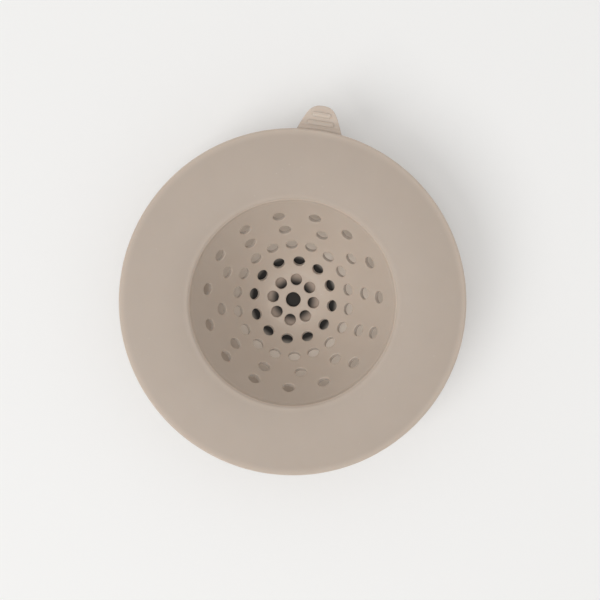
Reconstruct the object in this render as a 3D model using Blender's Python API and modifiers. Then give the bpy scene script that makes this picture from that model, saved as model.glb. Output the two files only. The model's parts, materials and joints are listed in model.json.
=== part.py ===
# Sink strainer: a domed flange with a flat seat near its edge, a perforated basket held in a
# groove under the flange's inner edge, and a ribbed pull tab that bends at the flange's outer edge.
# Units are metres, +Z is up. The origin is on the basket's axis, in the plane of the flange's seat.
# The tab points along +Y.

import math

import bmesh
import bpy
import numpy as np
from mathutils import Matrix, Vector

# Flange
RIM_RADIUS = 0.0560
EDGE_ROUND = 0.0010
SEAT_WIDTH = 0.0035
SEAT_TAPER = 0.0006
FLANGE_WALL = 0.0018
CREST_RADIUS = 0.0440
DOME_RISE = 0.00075
MOUTH_FALL = 0.0010
LIP_ROUND = 0.0013

# Basket
MOUTH_RADIUS = 0.0332
BASKET_DEPTH = 0.0255
BASKET_FLOOR_RADIUS = 0.0090
BASKET_WALL = 0.0016
HOLE_DIAMETER = 0.0040
CENTRE_HOLE_DIAMETER = 0.0052
# The first ring of holes lies on the floor, at this share of the floor's radius. The others lie
# on the inner wall, at these shares of the way out from the floor's edge to the mouth.
FLOOR_RING_SHARE = 0.8
WALL_RING_SHARES = (0.194, 0.4215, 0.628, 0.806)

# Joint between the basket and the flange
SEAM_WALL = 0.0016
BASKET_LIP_REACH = 0.0040
BASKET_LIP_THICKNESS = 0.0014
RETAINER_OVERLAP = 0.0018
RETAINER_THICKNESS = 0.0012
COLLAR_WALL = 0.0016

# Pull tab
TAB_REACH = 0.00775
TAB_ROOT_WIDTH = 0.0142
TAB_TIP_WIDTH = 0.0106
TAB_THICKNESS = 0.0014
RIB_PITCH = 0.0027
RIB_WIDTH = 0.0014
RIB_HEIGHT = 0.0005
RIB_SIDE_MARGIN = 0.0018
RIB_TIP_MARGIN = 0.00275

# Gap that the pieces keep to each other, and how far a cutter runs past what it cuts
FIT_GAP = 0.0003
CUT_OVERRUN = 0.0008
MERGE_DISTANCE = 0.00001

# Counts and angles
RING_HOLES = (8, 12, 18, 12, 15)
RING_TURN_DEGREES = (0, 0, 0, 15, 12)
RIB_COUNT = 2
FLANGE_STEPS = 84
BASKET_STEPS = 60
HOLE_SIDES = 14
ROUND_SEGMENTS = 3
DOME_SEGMENTS = 3
WALL_SEGMENTS = 10
TAB_SIDE_SEGMENTS = 14
TAB_ROOT_SIDES = 16
RIB_END_SEGMENTS = 6

# The basket's wall rises from its floor as this power of the distance out
WALL_CURVE = 1.5
# The tab's sides flare towards its root, and its tip closes as a squared-off round
TAB_FLARE_CURVE = 2
TAB_TIP_CURVE = 2.6
SHARP_EDGE_DEGREES = 35

# What follows from the sizes above
EDGE_TOP = 2 * EDGE_ROUND
CREST_TOP = EDGE_TOP + DOME_RISE
LIP_TOP = CREST_TOP - MOUTH_FALL
GROOVE_CEILING = LIP_TOP - SEAM_WALL
BASKET_LIP_TOP = GROOVE_CEILING - FIT_GAP
BASKET_LIP_BOTTOM = BASKET_LIP_TOP - BASKET_LIP_THICKNESS
BASKET_LIP_RADIUS = MOUTH_RADIUS + BASKET_LIP_REACH
GROOVE_RADIUS = BASKET_LIP_RADIUS + FIT_GAP
GROOVE_FLOOR = BASKET_LIP_BOTTOM - FIT_GAP
RETAINER_RADIUS = BASKET_LIP_RADIUS - RETAINER_OVERLAP
RETAINER_BOTTOM = GROOVE_FLOOR - RETAINER_THICKNESS
COLLAR_RADIUS = GROOVE_RADIUS + COLLAR_WALL
BASKET_FLOOR_TOP = BASKET_LIP_TOP - BASKET_DEPTH
BASKET_FLOOR_BOTTOM = BASKET_FLOOR_TOP - BASKET_WALL
TAB_HALF_THICKNESS = TAB_THICKNESS / 2
TAB_AXIS_HEIGHT = TAB_HALF_THICKNESS
# The tab's round root stands off the flange's round edge by the fit gap.
TAB_AXIS_Y = (
    RIM_RADIUS
    - EDGE_ROUND
    + math.sqrt(
        (EDGE_ROUND + FIT_GAP + TAB_HALF_THICKNESS) ** 2 - (EDGE_ROUND - TAB_AXIS_HEIGHT) ** 2
    )
)
TAB_AXIS_POINT = Vector((0, TAB_AXIS_Y, TAB_AXIS_HEIGHT))
TAB_TIP_Y = RIM_RADIUS + TAB_REACH


def clear_scene():
    for item in list(bpy.data.objects):
        bpy.data.objects.remove(item, do_unlink=True)


def new_collection(name):
    collection = bpy.data.collections.new(name)
    bpy.context.scene.collection.children.link(collection)
    return collection


def silicone(name, colour, roughness):
    """Matt silicone in one of the strainer's slightly different taupes."""
    material = bpy.data.materials.new(name)
    material.use_nodes = True
    shader = material.node_tree.nodes["Principled BSDF"]
    shader.inputs["Base Color"].default_value = (*colour, 1)
    shader.inputs["Roughness"].default_value = roughness
    shader.inputs["Metallic"].default_value = 0
    return material


def linked_object(name, mesh, collection):
    item = bpy.data.objects.new(name, mesh)
    collection.objects.link(item)
    return item


def mesh_from(bm, name):
    mesh = bpy.data.meshes.new(name)
    bm.to_mesh(mesh)
    bm.free()
    return mesh


def smooth(item):
    item.data.shade_smooth()
    item.data.set_sharp_from_angle(angle=math.radians(SHARP_EDGE_DEGREES))


def combine(item, helper, operation):
    """Cuts a helper shape from a piece, or joins it on, and hides the helper."""
    boolean = item.modifiers.new(helper.name, "BOOLEAN")
    boolean.operation = operation
    boolean.solver = "EXACT"
    boolean.object = helper
    helper.hide_render = True
    helper.display_type = "WIRE"


def arc(centre, radius, start_degrees, end_degrees, segments):
    """Points on an arc in the section plane, ends included."""
    angles = np.radians(np.linspace(start_degrees, end_degrees, segments + 1))
    return [(centre[0] + radius * math.cos(a), centre[1] + radius * math.sin(a)) for a in angles]


def turned(name, profile, steps, collection):
    """A closed section, given as (radius, height), turned once round +Z."""
    bm = bmesh.new()
    vertices = [bm.verts.new((radius, 0, height)) for radius, height in profile]
    for first, second in zip(vertices, vertices[1:] + vertices[:1]):
        bm.edges.new((first, second))
    item = linked_object(name, mesh_from(bm, name), collection)
    screw = item.modifiers.new("turn", "SCREW")
    screw.axis = "Z"
    screw.angle = math.tau
    screw.steps = steps
    screw.render_steps = steps
    screw.use_merge_vertices = True
    screw.merge_threshold = MERGE_DISTANCE
    return item


def flange_top(radius):
    """Height of the flange's domed top face."""
    if radius > CREST_RADIUS:
        share = (radius - CREST_RADIUS) / (RIM_RADIUS - EDGE_ROUND - CREST_RADIUS)
        return CREST_TOP - DOME_RISE * share**2
    share = (CREST_RADIUS - radius) / (CREST_RADIUS - MOUTH_RADIUS - LIP_ROUND)
    return CREST_TOP - MOUTH_FALL * share**2


def flange_profile():
    """The flange's section, clockwise from the mouth's rounded lip over the dome."""
    lip_centre = (MOUTH_RADIUS + LIP_ROUND, LIP_TOP - LIP_ROUND)
    edge_centre = (RIM_RADIUS - EDGE_ROUND, EDGE_ROUND)
    seat_inner = edge_centre[0] - SEAT_WIDTH
    dome_under_end = seat_inner - SEAT_TAPER
    points = arc(lip_centre, LIP_ROUND, 180, 90, ROUND_SEGMENTS)
    inner_dome = np.linspace(lip_centre[0], CREST_RADIUS, DOME_SEGMENTS + 1)
    outer_dome = np.linspace(CREST_RADIUS, edge_centre[0], DOME_SEGMENTS + 1)
    points += [(r, flange_top(r)) for r in inner_dome[1:]]
    points += [(r, flange_top(r)) for r in outer_dome[1:-1]]
    points += arc(edge_centre, EDGE_ROUND, 90, -90, 2 * ROUND_SEGMENTS)
    points.append((seat_inner, 0))
    under_dome = np.linspace(dome_under_end, COLLAR_RADIUS, DOME_SEGMENTS + 1)
    points += [(r, flange_top(r) - FLANGE_WALL) for r in under_dome]
    points.append((COLLAR_RADIUS, RETAINER_BOTTOM))
    points.append((RETAINER_RADIUS, RETAINER_BOTTOM))
    points.append((RETAINER_RADIUS, GROOVE_FLOOR))
    points.append((GROOVE_RADIUS, GROOVE_FLOOR))
    points.append((GROOVE_RADIUS, GROOVE_CEILING))
    points.append((MOUTH_RADIUS, GROOVE_CEILING))
    return points


def make_flange(collection):
    flange = turned("flange", flange_profile(), FLANGE_STEPS, collection)
    flange.data.materials.append(silicone("flange_silicone", (0.455, 0.385, 0.322), 0.6))
    smooth(flange)
    return flange


def wall_height(radius):
    """Height of the basket's inner face at a radius."""
    share = max(0, (radius - BASKET_FLOOR_RADIUS) / (MOUTH_RADIUS - BASKET_FLOOR_RADIUS))
    return BASKET_FLOOR_TOP + BASKET_DEPTH * share**WALL_CURVE


def wall_slope(radius):
    """Angle of the basket's inner face above the horizontal."""
    width = MOUTH_RADIUS - BASKET_FLOOR_RADIUS
    share = max(0, (radius - BASKET_FLOOR_RADIUS) / width)
    return math.atan(BASKET_DEPTH / width * WALL_CURVE * share ** (WALL_CURVE - 1))


def outer_wall(radius):
    """The point of the basket's outer face that lies square behind an inner one."""
    slope = wall_slope(radius)
    return (
        radius + BASKET_WALL * math.sin(slope),
        wall_height(radius) - BASKET_WALL * math.cos(slope),
    )


def basket_profile():
    """The basket's section, clockwise from the centre hole's edge up the inner wall."""
    shares = np.linspace(0, 1, WALL_SEGMENTS + 1) ** WALL_CURVE
    radii = BASKET_FLOOR_RADIUS + (MOUTH_RADIUS - BASKET_FLOOR_RADIUS) * shares
    centre_radius = CENTRE_HOLE_DIAMETER / 2
    # The outer face meets the lip's underside on the line of its topmost stretch.
    top_radius, top_height = outer_wall(MOUTH_RADIUS)
    lip_root = top_radius - (top_height - BASKET_LIP_BOTTOM) / math.tan(wall_slope(MOUTH_RADIUS))
    outer = [outer_wall(r) for r in reversed(radii)]
    points = [(centre_radius, BASKET_FLOOR_TOP)]
    points += [(r, wall_height(r)) for r in radii]
    points.append((BASKET_LIP_RADIUS, BASKET_LIP_TOP))
    points.append((BASKET_LIP_RADIUS, BASKET_LIP_BOTTOM))
    points.append((lip_root, BASKET_LIP_BOTTOM))
    points += [point for point in outer if point[1] < BASKET_LIP_BOTTOM - FIT_GAP]
    points.append((centre_radius, BASKET_FLOOR_BOTTOM))
    return points


def punch_matrix(radius, angle):
    """Places a punch at a hole's middle, square to the wall."""
    slope = wall_slope(radius)
    reach = BASKET_WALL / 2
    middle = Vector((radius + reach * math.sin(slope), 0, wall_height(radius) - reach * math.cos(slope)))
    tilt = Matrix.Rotation(-slope, 4, "Y")
    return Matrix.Rotation(angle, 4, "Z") @ Matrix.Translation(middle) @ tilt


def ring_radii():
    """The radius of each ring of holes on the inner face, from the middle outwards."""
    width = MOUTH_RADIUS - BASKET_FLOOR_RADIUS
    wall_rings = [BASKET_FLOOR_RADIUS + width * share for share in WALL_RING_SHARES]
    return [BASKET_FLOOR_RADIUS * FLOOR_RING_SHARE] + wall_rings


def make_punches(collection):
    """All of the basket's ring holes as one cutter of separate cylinders."""
    bm = bmesh.new()
    for radius, count, turn in zip(ring_radii(), RING_HOLES, RING_TURN_DEGREES):
        for index in range(count):
            angle = math.radians(turn) + math.tau * index / count
            bmesh.ops.create_cone(
                bm,
                cap_ends=True,
                segments=HOLE_SIDES,
                radius1=HOLE_DIAMETER / 2,
                radius2=HOLE_DIAMETER / 2,
                depth=BASKET_WALL + 2 * CUT_OVERRUN,
                matrix=punch_matrix(radius, angle),
            )
    return linked_object("hole_punches", mesh_from(bm, "hole_punches"), collection)


def make_basket(collection, helpers):
    basket = turned("basket", basket_profile(), BASKET_STEPS, collection)
    combine(basket, make_punches(helpers), "DIFFERENCE")
    basket.data.materials.append(silicone("basket_silicone", (0.425, 0.355, 0.295), 0.6))
    smooth(basket)
    return basket


def tab_half_width(share):
    """Half the tab's width, at a share of its reach past the rim."""
    flare = (TAB_ROOT_WIDTH - TAB_TIP_WIDTH) * (1 - share) ** TAB_FLARE_CURVE
    closing = (1 - share**TAB_TIP_CURVE) ** (1 / TAB_TIP_CURVE)
    return (TAB_TIP_WIDTH + flare) / 2 * closing


def tab_outline():
    """The tab's outline past its hinge line, anticlockwise from the right of the root."""
    first = (TAB_AXIS_Y - RIM_RADIUS) / TAB_REACH
    turns = np.linspace(0, math.pi / 2, TAB_SIDE_SEGMENTS + 1)
    shares = first + (1 - first) * np.sin(turns)
    right = [(tab_half_width(s), RIM_RADIUS + TAB_REACH * s) for s in shares[:-1]]
    left = [(-x, y) for x, y in reversed(right)]
    return right + [(0, TAB_TIP_Y)] + left


def rib_outline(y):
    """A pill-shaped rib's outline, parallel to the hinge line."""
    length = 2 * (tab_half_width((y - RIM_RADIUS) / TAB_REACH) - RIB_SIDE_MARGIN)
    radius = RIB_WIDTH / 2
    middle = length / 2 - radius
    return arc((middle, y), radius, -90, 90, RIB_END_SEGMENTS) + arc(
        (-middle, y), radius, 90, 270, RIB_END_SEGMENTS
    )


def flat_plates(name, outlines, bottom, top, collection):
    """Flat outlines made solid between two heights, as one mesh object."""
    curve = bpy.data.curves.new(name, "CURVE")
    curve.dimensions = "2D"
    curve.fill_mode = "BOTH"
    curve.extrude = (top - bottom) / 2
    for outline in outlines:
        spline = curve.splines.new("POLY")
        spline.points.add(len(outline) - 1)
        for point, (x, y) in zip(spline.points, outline):
            point.co = (x, y, 0, 1)
        spline.use_cyclic_u = True
    guide = linked_object(name + "_outline", curve, collection)
    evaluated = guide.evaluated_get(bpy.context.evaluated_depsgraph_get())
    mesh = bpy.data.meshes.new_from_object(evaluated)
    mesh.name = name
    bpy.data.objects.remove(guide, do_unlink=True)
    bm = bmesh.new()
    bm.from_mesh(mesh)
    bmesh.ops.remove_doubles(bm, verts=bm.verts, dist=MERGE_DISTANCE)
    bmesh.ops.translate(bm, verts=bm.verts, vec=(0, 0, (bottom + top) / 2))
    bm.to_mesh(mesh)
    bm.free()
    return linked_object(name, mesh, collection)


def tab_root_bar(collection):
    """The tab's round root, a bar along its hinge axis."""
    width = 2 * tab_half_width((TAB_AXIS_Y - RIM_RADIUS) / TAB_REACH)
    bm = bmesh.new()
    bmesh.ops.create_cone(
        bm,
        cap_ends=True,
        segments=TAB_ROOT_SIDES,
        radius1=TAB_HALF_THICKNESS,
        radius2=TAB_HALF_THICKNESS,
        depth=width,
        matrix=Matrix.Translation(TAB_AXIS_POINT) @ Matrix.Rotation(math.pi / 2, 4, "Y"),
    )
    return linked_object("tab_round_root", mesh_from(bm, "tab_round_root"), collection)


def tab_ribs(collection):
    """The grip ribs, sunk to the tab's middle so that they join it."""
    places = [TAB_TIP_Y - RIB_TIP_MARGIN - RIB_PITCH * index for index in range(RIB_COUNT)]
    outlines = [rib_outline(y) for y in places]
    top = TAB_THICKNESS + RIB_HEIGHT
    return flat_plates("tab_grip_ribs", outlines, TAB_HALF_THICKNESS, top, collection)


def make_pull_tab(collection, helpers):
    tab = flat_plates("pull_tab", [tab_outline()], 0, TAB_THICKNESS, collection)
    combine(tab, tab_root_bar(helpers), "UNION")
    combine(tab, tab_ribs(helpers), "UNION")
    tab.data.materials.append(silicone("tab_silicone", (0.485, 0.41, 0.342), 0.6))
    smooth(tab)
    # The tab's origin goes on its hinge axis.
    tab.data.transform(Matrix.Translation(-TAB_AXIS_POINT))
    tab.location = TAB_AXIS_POINT
    return tab


def make_strainer():
    clear_scene()
    strainer = new_collection("sink_strainer")
    helpers = new_collection("cutters_and_helpers")
    make_flange(strainer)
    make_basket(strainer, helpers)
    make_pull_tab(strainer, helpers)


make_strainer()
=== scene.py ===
# %% [markdown]
# A soft sink strainer, dressed around its engineering model
#
# The object is a sink strainer in matt taupe silicone: a wide, gently domed flange, a deep basket
# with five rings of round holes, and a ribbed tab to lift it by. The engineering model is already
# loaded by the frame, in metres, and every piece made here sits in that same frame. Sizes that
# the frame's boxes don't give, such as the mouth's radius, are written here as in that model.

# %% Load the frame
import json
import math

import bmesh
import bpy
import numpy as np
from mathutils import Matrix, Vector


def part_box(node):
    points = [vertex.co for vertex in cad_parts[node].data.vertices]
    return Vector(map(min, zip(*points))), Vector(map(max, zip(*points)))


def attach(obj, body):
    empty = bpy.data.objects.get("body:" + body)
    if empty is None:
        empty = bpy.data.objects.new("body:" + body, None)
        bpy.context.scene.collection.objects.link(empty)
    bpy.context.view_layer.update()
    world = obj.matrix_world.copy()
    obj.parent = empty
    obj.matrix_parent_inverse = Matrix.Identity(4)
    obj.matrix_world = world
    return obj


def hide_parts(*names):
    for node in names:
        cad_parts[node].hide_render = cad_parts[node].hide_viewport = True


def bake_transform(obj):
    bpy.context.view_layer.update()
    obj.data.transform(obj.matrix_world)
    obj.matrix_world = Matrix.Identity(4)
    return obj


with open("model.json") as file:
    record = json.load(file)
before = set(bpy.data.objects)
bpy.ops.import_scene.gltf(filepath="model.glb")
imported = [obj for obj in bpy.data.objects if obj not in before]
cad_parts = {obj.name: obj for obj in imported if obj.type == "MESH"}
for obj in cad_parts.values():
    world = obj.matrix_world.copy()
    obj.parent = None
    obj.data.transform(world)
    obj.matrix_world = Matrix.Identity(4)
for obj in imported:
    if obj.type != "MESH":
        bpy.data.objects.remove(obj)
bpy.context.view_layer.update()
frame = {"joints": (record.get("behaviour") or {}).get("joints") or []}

flange_low, flange_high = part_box("flange")
basket_low, basket_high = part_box("basket")
tab_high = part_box("pull_tab")[1]
MM = 0.001
RIM_RADIUS = flange_high.x
MOUTH_RADIUS = 33.2 * MM
print("flange across, mm:", round(2 * RIM_RADIUS / MM, 1))

# %% [markdown]
# The camera comes first, because it decides which details matter. It looks down almost along the
# strainer's axis from about 27 cm, a little from the tab's side, with a 50 mm lens. The picture is
# turned so that the tab points a few degrees to the right of straight up. A track-to constraint
# would be simpler, but it is undecided when the view is nearly vertical, so the three axes of the
# camera are built by hand.

# %% Camera
CAMERA_PLACE = Vector((0.4, 14.1, 269.2)) * MM
CAMERA_AIM = Vector((2.2, 1.4, 0.0)) * MM
CAMERA_TURN = math.radians(8.8)
LENS = 50
SENSOR_WIDTH = 36
CLIP_START = 10 * MM


def make_camera():
    back = (CAMERA_PLACE - CAMERA_AIM).normalized()
    upward = Vector((-math.sin(CAMERA_TURN), math.cos(CAMERA_TURN), 0))
    right = upward.cross(back).normalized()
    data = bpy.data.cameras.new("camera")
    data.lens = LENS
    data.sensor_width = SENSOR_WIDTH
    data.clip_start = CLIP_START
    camera = bpy.data.objects.new("camera", data)
    axes = Matrix((right, back.cross(right), back)).transposed()
    camera.matrix_world = Matrix.Translation(CAMERA_PLACE) @ axes.to_4x4()
    bpy.context.scene.collection.objects.link(camera)
    bpy.context.scene.camera = camera


make_camera()
print("camera's distance from its aim, mm:", round((CAMERA_PLACE - CAMERA_AIM).length / MM, 1))

# %% [markdown]
# Soft light, in three parts. An even sky gives every surface the same base level. A large square
# lamp overhead reaches down into the basket, and a second one at the lower left of the picture
# models the forms. Both hang far enough away to light the whole floor evenly. Each part gives
# a known share of the light on a level surface, and the shares add up to one, so a colour renders
# about as it is written. A lamp's power follows from its share, its distance and its elevation.

# %% Sky and lamps
OVERHEAD_SHARE = 0.24
SIDE_SHARE = 0.25
SKY_SHARE = 1 - OVERHEAD_SHARE - SIDE_SHARE
SKY_COLOUR = (1.0, 0.995, 0.985, 1)
LAMP_DISTANCE = 2.6
LAMP_SIZE = 1.45
LAMP_DIRECTION = math.radians(225)
OVERHEAD_ELEVATION = math.radians(88)
SIDE_ELEVATION = math.radians(50)


def make_sky():
    world = bpy.data.worlds.new("sky")
    world.use_nodes = True
    background = world.node_tree.nodes["Background"]
    background.inputs["Color"].default_value = SKY_COLOUR
    background.inputs["Strength"].default_value = SKY_SHARE
    bpy.context.scene.world = world


def make_lamp(name, share, elevation):
    data = bpy.data.lights.new(name, "AREA")
    data.shape = "SQUARE"
    data.size = LAMP_SIZE
    data.energy = math.pi**2 * share * LAMP_DISTANCE**2 / math.sin(elevation)
    lamp = bpy.data.objects.new(name, data)
    flat = math.cos(elevation)
    away = Vector((math.cos(LAMP_DIRECTION) * flat, math.sin(LAMP_DIRECTION) * flat,
                   math.sin(elevation)))
    lamp.location = away * LAMP_DISTANCE
    lamp.rotation_mode = "QUATERNION"
    lamp.rotation_quaternion = away.to_track_quat("Z", "Y")
    bpy.context.scene.collection.objects.link(lamp)
    print(name, "power, W:", round(data.energy, 1))


make_sky()
make_lamp("overhead_softbox", OVERHEAD_SHARE, OVERHEAD_ELEVATION)
make_lamp("side_softbox", SIDE_SHARE, SIDE_ELEVATION)
bpy.context.scene.view_settings.view_transform = "Standard"

# %% [markdown]
# Materials are built from nodes, and two small helpers keep that readable. The first makes a node
# with its settings and the values of its inputs in one call. The second joins an output to an input.

# %% Node helpers
def add(tree, kind, values=None, **settings):
    """A new shader node, with its settings and the values of its inputs."""
    node = tree.nodes.new("ShaderNode" + kind)
    for name, value in settings.items():
        setattr(node, name, value)
    for name, value in (values or {}).items():
        node.inputs[name].default_value = value
    return node


def wire(tree, start, output, end, entry):
    tree.links.new(start.outputs[output], end.inputs[entry])


# %% [markdown]
# The floor is a plain pale sheet that the basket stands on. Only the part under the flange is
# painted otherwise, with painted shade and painted light, and from above it is seen through the
# holes alone. It is almost black behind the centre hole, and in a ring round the basket's foot:
# a painted contact shadow. Between the two, behind the innermost ring of holes, the painted shade
# brightens outwards from black to a dim brown. Further out it takes a warm tone, painted bounce
# light, like light thrown back by the silicone. A darker crescent of painted shade on the side
# lamp's side keeps the outer holes there from looking brighter than the wall around them. Right
# of the middle it is the other way round, and there the paint glows faintly for the camera alone,
# as painted light.

# %% Floor paint: painted shade and painted light
# Painted shade, painted bounce light and the floor's own pale colour
PAINTED_SHADE_BLACK = (0.012, 0.010, 0.008, 1)
PAINTED_SHADE_DIM = (0.36, 0.285, 0.231, 1)
PAINTED_BOUNCE_LIGHT = (0.90, 0.812, 0.72, 1)
PAINTED_SHADE_CRESCENT = (0.49, 0.41, 0.342, 1)
PALE = (0.93, 0.926, 0.917, 1)
PAINT_REACH = 18 * MM
PAINT_STOPS = ((0 * MM, PAINTED_SHADE_BLACK), (5.6 * MM, PAINTED_SHADE_BLACK), (9.2 * MM, PAINTED_SHADE_DIM), (11.4 * MM, PAINTED_SHADE_BLACK),
               (14 * MM, PAINTED_SHADE_BLACK), (PAINT_REACH, PAINTED_BOUNCE_LIGHT))
# Where the crescent of painted shade lies
CRESCENT_RAMP = (37 * MM, 47 * MM)
CRESCENT_SHIFT = (-12 * MM, -12 * MM, 0)
OUTER_RAMP = (42 * MM, 57 * MM)
# Painted light on the floor, seen by the camera alone
PAINTED_GLOW_STRENGTH = 0.12
GLOW_SHIFT = (-8 * MM, 1 * MM, 0)
GLOW_RAMP = (30 * MM, 16 * MM)


def add_distance(tree, shift):
    """The distance from a point on the floor, which lies at minus the shift."""
    place = add(tree, "TexCoord")
    shifted = add(tree, "VectorMath", {1: shift}, operation="ADD")
    distance = add(tree, "VectorMath", operation="LENGTH")
    wire(tree, place, "Object", shifted, 0)
    wire(tree, shifted, "Vector", distance, 0)
    return distance


def add_ramp(tree, start, output, limits):
    """A smooth step of a node's output, from zero at the first limit to one at the second."""
    step = add(tree, "MapRange", {"From Min": limits[0], "From Max": limits[1]},
               interpolation_type="SMOOTHSTEP")
    wire(tree, start, output, step, "Value")
    return step


def add_painted_shade(tree, distance):
    """Painted shade and painted bounce light under the basket, from its middle outwards."""
    share = add(tree, "Math", {1: PAINT_REACH}, operation="DIVIDE")
    paint = add(tree, "ValToRGB")
    paint.color_ramp.interpolation = "EASE"
    stops = paint.color_ramp.elements
    stops[0].color = PAINT_STOPS[0][1]
    stops[-1].color = PAINT_STOPS[-1][1]
    for start, colour in PAINT_STOPS[1:-1]:
        stops.new(start / PAINT_REACH).color = colour
    wire(tree, distance, "Value", share, 0)
    wire(tree, share, "Value", paint, "Fac")
    return paint


def add_painted_glow(tree, shader, colour):
    """Painted light: a little more of the colour for the camera alone, so that it lights nothing."""
    reach = add_ramp(tree, add_distance(tree, GLOW_SHIFT), "Value", GLOW_RAMP)
    seen = add(tree, "Math", {1: PAINTED_GLOW_STRENGTH}, operation="MULTIPLY")
    strength = add(tree, "Math", operation="MULTIPLY")
    wire(tree, add(tree, "LightPath"), "Is Camera Ray", seen, 0)
    wire(tree, seen, "Value", strength, 0)
    wire(tree, reach, "Result", strength, 1)
    wire(tree, colour, "Result", shader, "Emission Color")
    wire(tree, strength, "Value", shader, "Emission Strength")


# %% [markdown]
# The floor's material lays the three parts of the paint over each other: the rings of painted
# shade and bounce light under the basket, the crescent of painted shade, and the pale rest of the floor.

# %% Floor material
FLOOR_ROUGHNESS = 0.75


def make_floor_material():
    material = bpy.data.materials.new("floor_with_painted_shade")
    material.use_nodes = True
    tree = material.node_tree
    shader = tree.nodes["Principled BSDF"]
    shader.inputs["Roughness"].default_value = FLOOR_ROUGHNESS
    centred = add_distance(tree, (0, 0, 0))
    shifted = add_distance(tree, CRESCENT_SHIFT)
    middle = add(tree, "Mix", {"B": PAINTED_SHADE_CRESCENT}, data_type="RGBA")
    outer = add(tree, "Mix", {"B": PALE}, data_type="RGBA")
    wire(tree, add_ramp(tree, shifted, "Value", CRESCENT_RAMP), "Result", middle, "Factor")
    wire(tree, add_ramp(tree, centred, "Value", OUTER_RAMP), "Result", outer, "Factor")
    wire(tree, add_painted_shade(tree, centred), "Color", middle, "A")
    wire(tree, middle, "Result", outer, "A")
    wire(tree, outer, "Result", shader, "Base Color")
    add_painted_glow(tree, shader, outer)
    return material


# %% [markdown]
# The floor itself is a disc at the height of the basket's foot. It is one large face with a round
# edge, so that no straight edge crosses any view.

# %% Floor
FLOOR_RADIUS = 3.0
FLOOR_SIDES = 96


def make_floor():
    bm = bmesh.new()
    bmesh.ops.create_circle(bm, cap_ends=True, segments=FLOOR_SIDES, radius=FLOOR_RADIUS)
    mesh = bpy.data.meshes.new("floor")
    bm.to_mesh(mesh)
    bm.free()
    mesh.materials.append(make_floor_material())
    floor = bpy.data.objects.new("floor", mesh)
    floor.location.z = basket_low.z
    bpy.context.scene.collection.objects.link(floor)
    print("floor's height, mm:", round(floor.location.z / MM, 2))


make_floor()

# %% [markdown]
# All three pieces are moulded in one kind of silicone. It feels smooth, but the light shows more:
# the pigment is very slightly uneven, a few pale specks of dust always cling to it, and a fine grain
# from the blasted mould breaks up the reflections. Each effect is a function that adds its nodes
# to one shared group. Everything reads Object coordinates in metres, so it keeps its real size.
# The clouds come first. They are a factor that swings round one.

# %% Pigment clouds
CLOUD_SIZE = 9 * MM
CLOUD_DETAIL = 4
NOISE_MIDDLE = 0.5


def add_clouds(tree, place, inside):
    noise = add(tree, "TexNoise", {"Scale": 1 / CLOUD_SIZE, "Detail": CLOUD_DETAIL})
    centred = add(tree, "Math", {1: NOISE_MIDDLE}, operation="SUBTRACT")
    swing = add(tree, "Math", {2: 1}, operation="MULTIPLY_ADD")
    wire(tree, place, "Object", noise, "Vector")
    wire(tree, noise, "Fac", centred, 0)
    wire(tree, centred, "Value", swing, 0)
    wire(tree, inside, "Cloud Depth", swing, 1)
    return centred, swing


# %% [markdown]
# Dust is a field of cells with a small dot in each. A random value for each cell decides how
# strong its dot is, and most cells get none.

# %% Dust
SPECK_SPACING = 1.9 * MM
SPECK_SHARE = 0.085
BARE_CELLS_SHARE = 0.62
DUST = (0.72, 0.69, 0.65, 1)


def add_dust(tree, place, inside):
    cells = add(tree, "TexVoronoi", {"Scale": 1 / SPECK_SPACING})
    dot = add(tree, "MapRange", {"From Min": SPECK_SHARE, "From Max": SPECK_SHARE / 2})
    draw = add(tree, "SeparateColor")
    chosen = add(tree, "MapRange", {"From Min": BARE_CELLS_SHARE})
    seen = add(tree, "Math", operation="MULTIPLY")
    strength = add(tree, "Math", operation="MULTIPLY")
    wire(tree, place, "Object", cells, "Vector")
    wire(tree, cells, "Distance", dot, "Value")
    wire(tree, cells, "Color", draw, "Color")
    wire(tree, draw, "Red", chosen, "Value")
    wire(tree, dot, "Result", seen, 0)
    wire(tree, chosen, "Result", seen, 1)
    wire(tree, seen, "Value", strength, 0)
    wire(tree, inside, "Dust", strength, 1)
    return strength


# %% [markdown]
# The grain only goes to the bump, and the roughness follows the clouds. The group joins all of it.
# It also takes a mask of painted light and shade. Silicone is slightly translucent, so where it
# thins out towards an edge, light comes through and it looks paler; the mask paints that light
# into the colour, and where it is below zero it paints shade.

# %% Silicone skin, a node group
GRAIN_SIZE = 0.16 * MM
GRAIN_DETAIL = 2
ROUGHNESS_SWING = 0.12
# Gain of the painted light and shade on the colour
PAINTED_LIGHT_GAIN = 0.16
SKIN_INPUTS = (("Pigment", "Color", (0.5, 0.5, 0.5, 1)), ("Cloud Depth", "Float", 0.05),
               ("Grain Depth", "Float", 0.5), ("Dust", "Float", 0.3), ("Roughness", "Float", 0.5),
               ("Painted Light And Shade", "Float", 0))
SKIN_OUTPUTS = (("Color", "Color"), ("Roughness", "Float"), ("Height", "Float"))


def add_sockets(group):
    for name, kind, value in SKIN_INPUTS:
        socket = group.interface.new_socket(name, in_out="INPUT", socket_type="NodeSocket" + kind)
        socket.default_value = value
    for name, kind in SKIN_OUTPUTS:
        group.interface.new_socket(name, in_out="OUTPUT", socket_type="NodeSocket" + kind)


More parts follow.
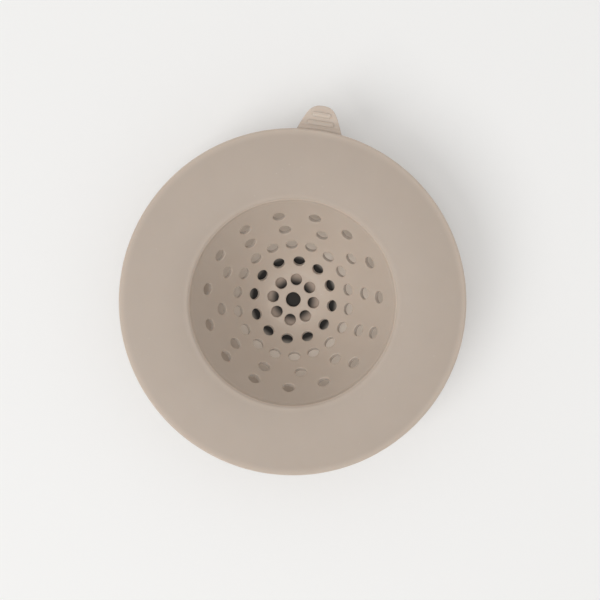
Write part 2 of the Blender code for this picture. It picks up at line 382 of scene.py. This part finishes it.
def join_colour(group, inside, outside, swing, specks):
    """The pigment, times the clouds and the painted light and shade, under the dust."""
    glow = add(group, "Math", {1: PAINTED_LIGHT_GAIN, 2: 1}, operation="MULTIPLY_ADD")
    factor = add(group, "Math", operation="MULTIPLY")
    tinted = add(group, "VectorMath", operation="SCALE")
    dusty = add(group, "Mix", {"B": DUST}, data_type="RGBA")
    wire(group, inside, "Painted Light And Shade", glow, 0)
    wire(group, swing, "Value", factor, 0)
    wire(group, glow, "Value", factor, 1)
    wire(group, inside, "Pigment", tinted, 0)
    wire(group, factor, "Value", tinted, "Scale")
    wire(group, specks, "Value", dusty, "Factor")
    wire(group, tinted, "Vector", dusty, "A")
    wire(group, dusty, "Result", outside, "Color")


def join_surface(group, place, inside, outside, centred, specks):
    """The height of grain and dust, and a roughness that follows the clouds."""
    grain = add(group, "TexNoise", {"Scale": 1 / GRAIN_SIZE, "Detail": GRAIN_DETAIL})
    relief = add(group, "Math", operation="MULTIPLY_ADD")
    satin = add(group, "Math", {1: ROUGHNESS_SWING}, operation="MULTIPLY_ADD")
    wire(group, place, "Object", grain, "Vector")
    wire(group, grain, "Fac", relief, 0)
    wire(group, inside, "Grain Depth", relief, 1)
    wire(group, specks, "Value", relief, 2)
    wire(group, relief, "Value", outside, "Height")
    wire(group, centred, "Value", satin, 0)
    wire(group, inside, "Roughness", satin, 2)
    wire(group, satin, "Value", outside, "Roughness")


def make_skin_group():
    group = bpy.data.node_groups.new("silicone_skin", "ShaderNodeTree")
    add_sockets(group)
    inside = group.nodes.new("NodeGroupInput")
    outside = group.nodes.new("NodeGroupOutput")
    place = add(group, "TexCoord")
    centred, swing = add_clouds(group, place, inside)
    specks = add_dust(group, place, inside)
    join_colour(group, inside, outside, swing, specks)
    join_surface(group, place, inside, outside, centred, specks)
    return group


skin = make_skin_group()
print("silicone skin nodes:", len(skin.nodes))

# %% [markdown]
# Each material is a Principled shader fed by the skin group. Silicone reflects little and softly,
# with a faint sheen at grazing angles, and a little light travels under its surface and softens
# every edge. These are plain values on the shader itself.

# %% Silicone shader
SILICONE_IOR = 1.41
SHEEN = 0.08
SHEEN_ROUGHNESS = 0.5
LIGHT_UNDER_SKIN = 0.3
LIGHT_SPREAD = (1.0, 0.75, 0.6)
LIGHT_REACH = 0.8 * MM
BUMP_REACH = 0.02 * MM
BUMP_STRENGTH = 0.6


def make_silicone(name, values):
    material = bpy.data.materials.new(name)
    material.use_nodes = True
    tree = material.node_tree
    shader = tree.nodes["Principled BSDF"]
    shader.inputs["IOR"].default_value = SILICONE_IOR
    shader.inputs["Sheen Weight"].default_value = SHEEN
    shader.inputs["Sheen Roughness"].default_value = SHEEN_ROUGHNESS
    shader.inputs["Subsurface Weight"].default_value = LIGHT_UNDER_SKIN
    shader.inputs["Subsurface Radius"].default_value = LIGHT_SPREAD
    shader.inputs["Subsurface Scale"].default_value = LIGHT_REACH
    coat = add(tree, "Group", node_tree=skin)
    for key, value in values.items():
        coat.inputs[key].default_value = value
    bump = add(tree, "Bump", {"Strength": BUMP_STRENGTH, "Distance": BUMP_REACH})
    wire(tree, coat, "Color", shader, "Base Color")
    wire(tree, coat, "Roughness", shader, "Roughness")
    wire(tree, coat, "Height", bump, "Height")
    wire(tree, bump, "Normal", shader, "Normal")
    return material, coat


# %% [markdown]
# Two masks go into the skin's input for painted light and shade. The first paints light in
# rings. The second takes away from it on the walls of the holes, as painted shade. Where these
# face outwards and up, they catch the light from above and would show as pale half-moons, so
# they get a deeper colour.

# %% Masks of painted light and painted shade
# Strength of the painted shade on the holes' walls
BORE_SHADE = 1.35
BORE_SIDE_LIMITS = (0.05, 0.45)
BORE_UP_LIMITS = (0.0, 0.3)


def add_flat_place(tree):
    """The place on the piece without its height, which points away from the axis."""
    flat = add(tree, "VectorMath", {1: (1, 1, 0)}, operation="MULTIPLY")
    wire(tree, add(tree, "TexCoord"), "Object", flat, 0)
    return flat


def paint_light_rings(material, coat, rings):
    """Paints light in rings, each a smooth step between two distances from the axis."""
    tree = material.node_tree
    distance = add(tree, "VectorMath", operation="LENGTH")
    wire(tree, add_flat_place(tree), "Vector", distance, 0)
    total = add(tree, "Value")
    total.outputs["Value"].default_value = 0
    for start, end, strength in rings:
        step = add_ramp(tree, distance, "Value", (start, end))
        step.inputs["To Max"].default_value = strength
        stronger = add(tree, "Math", operation="MAXIMUM")
        wire(tree, total, "Value", stronger, 0)
        wire(tree, step, "Result", stronger, 1)
        total = stronger
    wire(tree, total, "Value", coat, "Painted Light And Shade")


def shade_bores(material, coat):
    """Painted shade: deepens the colour on the walls of the holes, where they face outwards and up."""
    tree = material.node_tree
    before = coat.inputs["Painted Light And Shade"].links[0].from_socket
    skin_side = add(tree, "TexCoord")
    outward = add(tree, "VectorMath", operation="NORMALIZE")
    facing = add(tree, "VectorMath", operation="DOT_PRODUCT")
    axes = add(tree, "SeparateXYZ")
    both = add(tree, "Math", operation="MULTIPLY")
    less = add(tree, "Math", {1: -BORE_SHADE}, operation="MULTIPLY_ADD")
    wire(tree, add_flat_place(tree), "Vector", outward, 0)
    wire(tree, skin_side, "Normal", facing, 0)
    wire(tree, outward, "Vector", facing, 1)
    wire(tree, skin_side, "Normal", axes, "Vector")
    wire(tree, add_ramp(tree, facing, "Value", BORE_SIDE_LIMITS), "Result", both, 0)
    wire(tree, add_ramp(tree, axes, "Z", BORE_UP_LIMITS), "Result", both, 1)
    wire(tree, both, "Value", less, 0)
    tree.links.new(before, less.inputs[2])
    wire(tree, less, "Value", coat, "Painted Light And Shade")


# %% [markdown]
# The three materials differ a little. The basket's pigment is paler than the flange's, which
# is painted light for the light that comes through its wall, and the tab is a touch smoother.
# Each gets rings of painted light: the flange near its outer edge, where light comes through the
# thin silicone, and round its lip as a painted highlight; the basket just below its mouth, against
# the shade there; and the tab towards its tip. A row there holds where a step starts and where it
# ends, as distances from the axis, and its strength.

# %% Silicone materials
PIGMENT = (0.482, 0.404, 0.339, 1)
# The basket's paler pigment is painted light.
BASKET_PIGMENT_WITH_PAINTED_LIGHT = (0.526, 0.441, 0.368, 1)
# Rings of painted light, a painted highlight at the lip included
FLANGE_PAINTED_LIGHT = ((RIM_RADIUS - 2.8 * MM, RIM_RADIUS - 0.4 * MM, 1.0),
               (RIM_RADIUS - 0.7 * MM, RIM_RADIUS - 0.1 * MM, 1.8),
               (MOUTH_RADIUS + 2.2 * MM, MOUTH_RADIUS + 0.9 * MM, 0.3),
               (MOUTH_RADIUS + 0.5 * MM, MOUTH_RADIUS + 0.15 * MM, 2.2))
BASKET_PAINTED_LIGHT = ((MOUTH_RADIUS - 0.8 * MM, MOUTH_RADIUS - 0.1 * MM, 0.8),)
TAB_PAINTED_LIGHT = ((RIM_RADIUS + 1.4 * MM, RIM_RADIUS + 4.4 * MM, 1.7),)

flange_silicone, flange_coat = make_silicone(
    "flange_skin", {"Pigment": PIGMENT, "Cloud Depth": 0.08, "Grain Depth": 0.8, "Dust": 0.5,
                    "Roughness": 0.52})
paint_light_rings(flange_silicone, flange_coat, FLANGE_PAINTED_LIGHT)
basket_silicone, basket_coat = make_silicone(
    "basket_skin", {"Pigment": BASKET_PIGMENT_WITH_PAINTED_LIGHT, "Cloud Depth": 0.08, "Grain Depth": 0.8, "Dust": 0.5,
                    "Roughness": 0.52})
paint_light_rings(basket_silicone, basket_coat, BASKET_PAINTED_LIGHT)
shade_bores(basket_silicone, basket_coat)
tab_silicone, tab_coat = make_silicone(
    "tab_skin", {"Pigment": PIGMENT, "Cloud Depth": 0.06, "Grain Depth": 0.6, "Dust": 0.4,
                 "Roughness": 0.48})
paint_light_rings(tab_silicone, tab_coat, TAB_PAINTED_LIGHT)
for material in (flange_silicone, basket_silicone, tab_silicone):
    print(material.name, "nodes:", len(material.node_tree.nodes))

# %% [markdown]
# The pieces share a few small helpers. The first rounds the corners of a section with true arcs,
# so that a fillet is a number beside its corner and not a list of points. The next two turn
# an outline once round the axis with the spin operator. The last two shade a mesh smoothly but
# for its sharp edges, and put a finished bmesh into the scene with its normals facing out.

# %% Helpers
FILLET_SEGMENTS = 6
WELD = 0.0005 * MM
SHARP_ANGLE = math.radians(38)


def rounded(corners):
    """A closed section with its corners rounded. Each corner is (radius, height, fillet)."""
    points = []
    for index, (x, y, fillet) in enumerate(corners):
        here = Vector((x, y))
        if fillet == 0:
            points.append(here)
            continue
        before = Vector(corners[index - 1][:2]) - here
        after = Vector(corners[(index + 1) % len(corners)][:2]) - here
        half = before.angle(after) / 2
        start = here + before.normalized() * fillet / math.tan(half)
        end = here + after.normalized() * fillet / math.tan(half)
        middle = here + (before.normalized() + after.normalized()).normalized() * fillet / math.sin(half)
        first = start - middle
        last = end - middle
        sweep = first.angle_signed(last)
        for step in range(FILLET_SEGMENTS + 1):
            turn = Matrix.Rotation(-sweep * step / FILLET_SEGMENTS, 2)
            points.append(middle + turn @ first)
    return points


def spin_round(bm, vertices, edges, steps):
    """Turns an outline once round +Z inside its bmesh."""
    bmesh.ops.spin(bm, geom=vertices + edges, cent=(0, 0, 0), axis=(0, 0, 1),
                   angle=math.tau, steps=steps, use_merge=True)


def spun(points, steps):
    """A bmesh of a closed section, turned once round +Z."""
    bm = bmesh.new()
    vertices = [bm.verts.new((x, 0, y)) for x, y in points]
    edges = [bm.edges.new((a, b)) for a, b in zip(vertices, vertices[1:] + vertices[:1])]
    spin_round(bm, vertices, edges, steps)
    return bm


def smooth(mesh):
    mesh.shade_smooth()
    mesh.set_sharp_from_angle(angle=SHARP_ANGLE)


def finished(bm, name, material=None):
    """The bmesh as an object at the origin, welded, facing out and smooth."""
    bmesh.ops.remove_doubles(bm, verts=bm.verts, dist=WELD)
    bmesh.ops.recalc_face_normals(bm, faces=bm.faces)
    mesh = bpy.data.meshes.new(name)
    bm.to_mesh(mesh)
    bm.free()
    smooth(mesh)
    if material:
        mesh.materials.append(material)
    item = bpy.data.objects.new(name, mesh)
    bpy.context.scene.collection.objects.link(item)
    return item


# %% [markdown]
# The flange is a turned shape: from the rounded lip at the basket's mouth it rises to a low crest
# and falls again to a half-round outer edge. Underneath it is hollow, with a flat seat near
# its edge and a collar that holds the basket's lip. It could be a flat ring bent with a modifier,
# but a section that is spun gives the exact curve, and the same numbers can be checked
# against the frame. Its two parabolas meet at the crest, where both are level. The lip and the edge
# are rounded by a little less than their full radius, so that no two arcs run into each other.

# %% Flange
CREST_TOP = flange_high.z
COLLAR_BOTTOM = flange_low.z
CREST_RADIUS = 44.0 * MM
DOME_RISE = 0.75 * MM
MOUTH_FALL = 1.0 * MM
LIP_ROUND = 1.3 * MM
EDGE_ROUND = 1.0 * MM
ROUND_SHARE = 0.98
SEAT_WIDTH = 3.5 * MM
SEAT_TAPER = 0.6 * MM
FLANGE_WALL = 1.8 * MM
SEAM_WALL = 1.6 * MM
FIT_GAP = 0.3 * MM
COLLAR_WALL = 1.6 * MM
RETAINER_THICKNESS = 1.2 * MM
RETAINER_OVERLAP = 1.8 * MM
SMALL_FILLET = 0.3 * MM
TINY_FILLET = 0.12 * MM
HAIRLINE = 0.03 * MM
FLANGE_STEPS = 288
DOME_STEPS = 16

BASKET_LIP_RADIUS = basket_high.x
GROOVE_RADIUS = BASKET_LIP_RADIUS + FIT_GAP
COLLAR_RADIUS = GROOVE_RADIUS + COLLAR_WALL
RETAINER_RADIUS = BASKET_LIP_RADIUS - RETAINER_OVERLAP
LIP_TOP = CREST_TOP - MOUTH_FALL
SEAM_HEIGHT = LIP_TOP - SEAM_WALL


def flange_top(radius):
    if radius > CREST_RADIUS:
        share = (radius - CREST_RADIUS) / (RIM_RADIUS - EDGE_ROUND - CREST_RADIUS)
        return CREST_TOP - DOME_RISE * share**2
    share = (CREST_RADIUS - radius) / (CREST_RADIUS - MOUTH_RADIUS - LIP_ROUND)
    return CREST_TOP - MOUTH_FALL * share**2


def flange_section():
    edge_top = 2 * EDGE_ROUND
    lip_fillet = LIP_ROUND * ROUND_SHARE
    edge_fillet = EDGE_ROUND * ROUND_SHARE
    seat_inner = RIM_RADIUS - EDGE_ROUND - SEAT_WIDTH
    under_outer = seat_inner - SEAT_TAPER
    over = np.linspace(MOUTH_RADIUS + LIP_ROUND, RIM_RADIUS - EDGE_ROUND, 2 * DOME_STEPS)
    under = np.linspace(under_outer, COLLAR_RADIUS, DOME_STEPS)
    corners = [(MOUTH_RADIUS, SEAM_HEIGHT, HAIRLINE), (MOUTH_RADIUS, LIP_TOP, lip_fillet)]
    corners += [(r, flange_top(r), 0) for r in over[1:-1]]
    corners += [(RIM_RADIUS, edge_top, edge_fillet), (RIM_RADIUS, 0, edge_fillet)]
    corners += [(seat_inner, 0, TINY_FILLET)]
    corners += [(under_outer, flange_top(under_outer) - FLANGE_WALL, TINY_FILLET)]
    corners += [(r, flange_top(r) - FLANGE_WALL, 0) for r in under[1:-1]]
    corners += [(COLLAR_RADIUS, flange_top(COLLAR_RADIUS) - FLANGE_WALL, SMALL_FILLET)]
    corners += [(COLLAR_RADIUS, COLLAR_BOTTOM, SMALL_FILLET)]
    corners += [(RETAINER_RADIUS, COLLAR_BOTTOM, SMALL_FILLET)]
    corners += [(RETAINER_RADIUS, COLLAR_BOTTOM + RETAINER_THICKNESS, TINY_FILLET)]
    corners += [(GROOVE_RADIUS, COLLAR_BOTTOM + RETAINER_THICKNESS, TINY_FILLET)]
    corners += [(GROOVE_RADIUS, SEAM_HEIGHT, TINY_FILLET)]
    return rounded(corners)


flange = finished(spun(flange_section(), FLANGE_STEPS), "silicone_flange", flange_silicone)
print("flange faces:", len(flange.data.polygons))

# %% [markdown]
# The basket's wall follows one smooth rule: its height above the floor grows with the distance
# from the floor's edge to the power of one and a half. That gives a flat floor, a soft knee and
# a wall that steepens towards the mouth. The outer face lies one wall thickness behind it, square
# to it. The basket's top meets the flange's lip with only a hairline between them.

# %% Basket shell
BASKET_DEPTH = 25.5 * MM
FLOOR_EDGE = 9.0 * MM
WALL_POWER = 1.5
BASKET_WALL = 1.6 * MM
BASKET_LIP = 1.4 * MM
CENTRE_RADIUS = 2.6 * MM
HOLE_EDGE = 0.28 * MM
BASKET_STEPS = 240
WALL_STEPS = 52
WALL_STEPS_POWER = 1.3
FLOOR_STEPS = 10

FLOOR_TOP = basket_low.z + BASKET_WALL
BASKET_TOP = FLOOR_TOP + BASKET_DEPTH
WALL_REACH = MOUTH_RADIUS - FLOOR_EDGE


def wall_height(radius):
    share = np.maximum(0, (radius - FLOOR_EDGE) / WALL_REACH)
    return FLOOR_TOP + BASKET_DEPTH * share**WALL_POWER


def wall_slope(radius):
    share = np.maximum(0, (radius - FLOOR_EDGE) / WALL_REACH)
    return np.arctan(BASKET_DEPTH / WALL_REACH * WALL_POWER * share ** (WALL_POWER - 1))


def basket_section():
    radii = FLOOR_EDGE + WALL_REACH * np.linspace(0, 1, WALL_STEPS) ** WALL_STEPS_POWER
    slopes = wall_slope(radii)
    heights = wall_height(radii)
    outer_r = radii + BASKET_WALL * np.sin(slopes)
    outer_z = heights - BASKET_WALL * np.cos(slopes)
    lip_bottom = BASKET_TOP - BASKET_LIP
    lip_root = outer_r[-1] - (outer_z[-1] - lip_bottom) / math.tan(slopes[-1])
    floor_rows = np.linspace(CENTRE_RADIUS, FLOOR_EDGE, FLOOR_STEPS)[1:-1]
    top = SEAM_HEIGHT - HAIRLINE
    corners = [(CENTRE_RADIUS, FLOOR_TOP, HOLE_EDGE)]
    corners += [(r, FLOOR_TOP, 0) for r in floor_rows]
    corners += [(r, z, 0) for r, z in zip(radii, heights)]
    corners += [(MOUTH_RADIUS, top, HAIRLINE), (BASKET_LIP_RADIUS, top, TINY_FILLET)]
    corners += [(BASKET_LIP_RADIUS, lip_bottom, TINY_FILLET), (lip_root, lip_bottom, TINY_FILLET)]
    corners += [(r, z, 0) for r, z in zip(outer_r[::-1], outer_z[::-1]) if z < lip_bottom - FIT_GAP]
    corners += [(r, FLOOR_TOP - BASKET_WALL, 0) for r in floor_rows[::-1]]
    corners += [(CENTRE_RADIUS, FLOOR_TOP - BASKET_WALL, HOLE_EDGE)]
    return rounded(corners)


basket = finished(spun(basket_section(), BASKET_STEPS), "silicone_basket", basket_silicone)
print("basket shell faces:", len(basket.data.polygons))

# %% [markdown]
# The holes are round when looked at square to the wall, and their edges are softly rounded on
# both sides. A plain cylinder would leave knife edges, and a bevel after the cut would struggle
# where the holes cross the shell's own edges. So the punch itself has the rounding: it is a short
# spool that flares at both ends.

# %% Hole punch
HOLE_RADIUS = 2.0 * MM
FLARE_ANGLE = math.radians(80)
FLARE_STEPS = 6
PUNCH_SIDES = 44
PUNCH_OVERRUN = 0.5 * MM


def punch_section():
    """Half of the spool as (radius, depth), from the axis at its top to its middle."""
    turns = np.linspace(FLARE_ANGLE, 0, FLARE_STEPS)
    flare = [(HOLE_RADIUS + HOLE_EDGE * (1 - math.cos(t)), HOLE_EDGE * (1 - math.sin(t)))
             for t in turns]
    return [(0, -PUNCH_OVERRUN), (flare[0][0], -PUNCH_OVERRUN)] + flare


def make_punch():
    """The spool, with its depth along +Z and the wall's inner face at zero."""
    half = punch_section()
    other = [(r, BASKET_WALL - depth) for r, depth in reversed(half)]
    bm = bmesh.new()
    vertices = [bm.verts.new((r, 0, depth)) for r, depth in half + other]
    edges = [bm.edges.new(pair) for pair in zip(vertices, vertices[1:])]
    spin_round(bm, vertices, edges, PUNCH_SIDES)
    bmesh.ops.remove_doubles(bm, verts=bm.verts, dist=WELD)
    return bm


# %% [markdown]
# A punch stands at each hole of the five rings. The innermost ring lies on the flat floor, and the
# others on the wall. There each punch is pressed onto the curved wall, point by point, so that its
# flare follows the wall all the way round the hole.

# %% Rings of punches
FLOOR_RING_SHARE = 0.8
WALL_RING_SHARES = (0.194, 0.4215, 0.628, 0.806)
RING_HOLES = (8, 12, 18, 12, 15)
RING_TURNS = (0, 0, 0, 15, 12)
RING_RADII = [FLOOR_EDGE * FLOOR_RING_SHARE] + [FLOOR_EDGE + WALL_REACH * s for s in WALL_RING_SHARES]
WALL_SAMPLES = 3000


def press_onto_wall(points, ring_radius, angle):
    """Moves a punch's points to a hole's place, with their depths measured from the curved wall."""
    slope = wall_slope(ring_radius)
    along_r = ring_radius + points[:, 1] * np.cos(slope)
    height = wall_height(ring_radius) + points[:, 1] * np.sin(slope)
    reach = np.hypot(along_r, points[:, 0])
    # The nearest point of the wall's section, from a fine sampling of it
    sample_r = np.linspace(CENTRE_RADIUS, MOUTH_RADIUS, WALL_SAMPLES)
    sample_z = wall_height(sample_r)
    away = (reach[:, None] - sample_r) ** 2 + (height[:, None] - sample_z) ** 2
    foot_r = sample_r[away.argmin(axis=1)]
    foot_slope = wall_slope(foot_r)
    out_r = foot_r + points[:, 2] * np.sin(foot_slope)
    out_z = wall_height(foot_r) - points[:, 2] * np.cos(foot_slope)
    turn = angle + np.arctan2(points[:, 0], along_r)
    return np.column_stack((out_r * np.cos(turn), out_r * np.sin(turn), out_z))


def make_punches():
    pattern = make_punch()
    pattern_mesh = bpy.data.meshes.new("punch")
    pattern.to_mesh(pattern_mesh)
    pattern.free()
    rest = np.array([v.co for v in pattern_mesh.vertices])
    bm = bmesh.new()
    for ring_radius, count, turn in zip(RING_RADII, RING_HOLES, RING_TURNS):
        for index in range(count):
            start = len(bm.verts)
            bm.from_mesh(pattern_mesh)
            bm.verts.ensure_lookup_table()
            angle = math.radians(turn) + math.tau * index / count
            placed = press_onto_wall(rest, ring_radius, angle)
            for vertex, place in zip(bm.verts[start:], placed):
                vertex.co = place
    bpy.data.meshes.remove(pattern_mesh)
    return finished(bm, "hole_punches")


punches = make_punches()
print("ring holes:", sum(RING_HOLES), "on radii, mm:", [round(r / MM, 1) for r in RING_RADII])

# %% [markdown]
# One exact Boolean cuts all the holes at once. It leaves slivers without any area and faces with
# dents where a hole's edge crosses the shell's own edges. So the result is cleaned: the slivers are
# dissolved, and each dented face is split into plain ones. No point moves by anything that shows.

# %% Cut the holes
def punch_out(item, punches):
    """Cuts all the punches from the item, and keeps only the cleaned result."""
    cut = item.modifiers.new("holes", "BOOLEAN")
    cut.operation = "DIFFERENCE"
    cut.solver = "EXACT"
    cut.object = punches
    evaluated = item.evaluated_get(bpy.context.evaluated_depsgraph_get())
    mesh = bpy.data.meshes.new_from_object(evaluated)
    item.modifiers.clear()
    bm = bmesh.new()
    bm.from_mesh(mesh)
    bmesh.ops.dissolve_degenerate(bm, dist=WELD, edges=bm.edges)
    bmesh.ops.connect_verts_concave(bm, faces=bm.faces)
    bm.to_mesh(mesh)
    bm.free()
    item.data = mesh
    smooth(mesh)
    bpy.data.objects.remove(punches, do_unlink=True)


punch_out(basket, punches)
print("holes:", sum(RING_HOLES) + 1, "basket faces:", len(basket.data.polygons))

# %% [markdown]
# The pull tab is a flat tongue with a flared root and a round tip. Its outline is one formula,
# mirrored, so it stays smooth. Two pill-shaped grip ribs lie on it, parallel to the flange's edge,
# each as long as the tongue's width allows.

# %% Outlines of the pull tab
TAB_ROOT_WIDTH = 14.2 * MM
TAB_TIP_WIDTH = 10.6 * MM
TAB_FLARE_POWER = 2
TAB_TIP_POWER = 2.6
TAB_HIDDEN = 1.2 * MM
TAB_OUTLINE_STEPS = 26
RIB_WIDTH = 1.6 * MM
RIB_SIDE_MARGIN = 1.75 * MM
RIB_END_POINTS = 13

TAB_TIP = tab_high.y
TAB_REACH = TAB_TIP - RIM_RADIUS


def tab_half_width(share):
    flare = (TAB_ROOT_WIDTH - TAB_TIP_WIDTH) * (1 - share) ** TAB_FLARE_POWER
    closing = (1 - max(0, share) ** TAB_TIP_POWER) ** (1 / TAB_TIP_POWER)
    return (TAB_TIP_WIDTH + flare) / 2 * closing


def tab_outline():
    first = -TAB_HIDDEN / TAB_REACH
    turns = np.linspace(0, math.pi / 2, TAB_OUTLINE_STEPS + 1)
    shares = first + (1 - first) * np.sin(turns)
    right = [(tab_half_width(s), RIM_RADIUS + TAB_REACH * s) for s in shares[:-1]]
    return right + [(0, TAB_TIP)] + [(-x, y) for x, y in reversed(right)]


def rib_outline(y):
    half = tab_half_width((y - RIM_RADIUS) / TAB_REACH) - RIB_SIDE_MARGIN
    radius = RIB_WIDTH / 2
    turns = np.linspace(-math.pi / 2, math.pi / 2, RIB_END_POINTS)
    right = [(half - radius + radius * math.cos(t), y + radius * math.sin(t)) for t in turns]
    return right + [(-x, y_up) for x, y_up in reversed(right)]


# %% [markdown]
# The tongue and the ribs are extruded from their outlines and their rims are bevelled. The ribs are
# part of the same piece and sink into the tongue. The tab is then sliced across near its root, so
# that it can bend there. Last, it is made thinner towards the flange, as a soft hinge would be, and
# that leaves a shallow valley in the shade of the flange's edge.

# %% Pull tab
TAB_THICKNESS = 1.4 * MM
TAB_EDGE_ROUND = 0.5 * MM
RIB_COUNT = 2
RIB_HEIGHT = 0.4 * MM
RIB_PITCH = 2.7 * MM
RIB_TIP_MARGIN = 2.95 * MM
RIB_ROUND = 0.38 * MM
BEVEL_SEGMENTS = 4
ROUND_PROFILE = 0.5
VALLEY_SHARE = 0.4
VALLEY_START = 0.5 * MM
VALLEY_END = 1.6 * MM
BEND_REACH = 0.8 * MM
SLICE_SPACING = 0.12 * MM

HINGE_Y = frame["joints"][0]["pos_m"][1]


def plate(bm, outline, bottom, top, round_radius, round_bottom):
    """Adds a flat outline made solid between two heights, with its rims rounded."""
    base = bm.faces.new([bm.verts.new((x, y, bottom)) for x, y in outline])
    raised = bmesh.ops.extrude_face_region(bm, geom=[base])["geom"]
    upper = [part for part in raised if isinstance(part, bmesh.types.BMVert)]
    bmesh.ops.translate(bm, verts=upper, vec=(0, 0, top - bottom))
    rims = [part for part in raised if isinstance(part, bmesh.types.BMEdge)]
    if round_bottom:
        rims += list(base.edges)
    bmesh.ops.bevel(bm, geom=rims, offset=round_radius, offset_type="OFFSET", segments=BEVEL_SEGMENTS,
                    profile=ROUND_PROFILE, affect="EDGES", material=-1, clamp_overlap=True)


def slice_bend(bm):
    """Cuts the tab across at even steps on both sides of its hinge."""
    first = HINGE_Y - 2 * BEND_REACH
    for index in range(int(4 * BEND_REACH / SLICE_SPACING) + 1):
        bmesh.ops.bisect_plane(bm, geom=list(bm.verts) + list(bm.edges) + list(bm.faces),
                               plane_co=(0, first + SLICE_SPACING * index, 0), plane_no=(0, 1, 0))


def thin_root(bm):
    """Makes the tab thinner by the valley's share at its root, and smoothly by less further out."""
    for vertex in bm.verts:
        share = (vertex.co.y - RIM_RADIUS - VALLEY_START) / (VALLEY_END - VALLEY_START)
        share = min(1, max(0, share))
        vertex.co.z *= 1 - VALLEY_SHARE * (1 - share**2 * (3 - 2 * share))


def make_tab():
    bm = bmesh.new()
    plate(bm, tab_outline(), 0, TAB_THICKNESS, TAB_EDGE_ROUND, True)
    for index in range(RIB_COUNT):
        outline = rib_outline(TAB_TIP - RIB_TIP_MARGIN - RIB_PITCH * index)
        plate(bm, outline, TAB_THICKNESS / 2, TAB_THICKNESS + RIB_HEIGHT, RIB_ROUND, False)
    bmesh.ops.recalc_face_normals(bm, faces=bm.faces)
    slice_bend(bm)
    thin_root(bm)
    return finished(bm, "silicone_pull_tab", tab_silicone)


pull_tab = make_tab()
print("tab faces:", len(pull_tab.data.polygons))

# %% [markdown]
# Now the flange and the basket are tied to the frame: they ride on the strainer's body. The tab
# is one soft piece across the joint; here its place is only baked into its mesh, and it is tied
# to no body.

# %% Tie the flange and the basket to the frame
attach(flange, "strainer")
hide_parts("flange")
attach(basket, "strainer")
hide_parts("basket")
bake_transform(pull_tab)
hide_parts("pull_tab")
print("the tab bends from", round((HINGE_Y - BEND_REACH) / MM, 2), "to",
      round((HINGE_Y + BEND_REACH) / MM, 2), "mm from the axis")
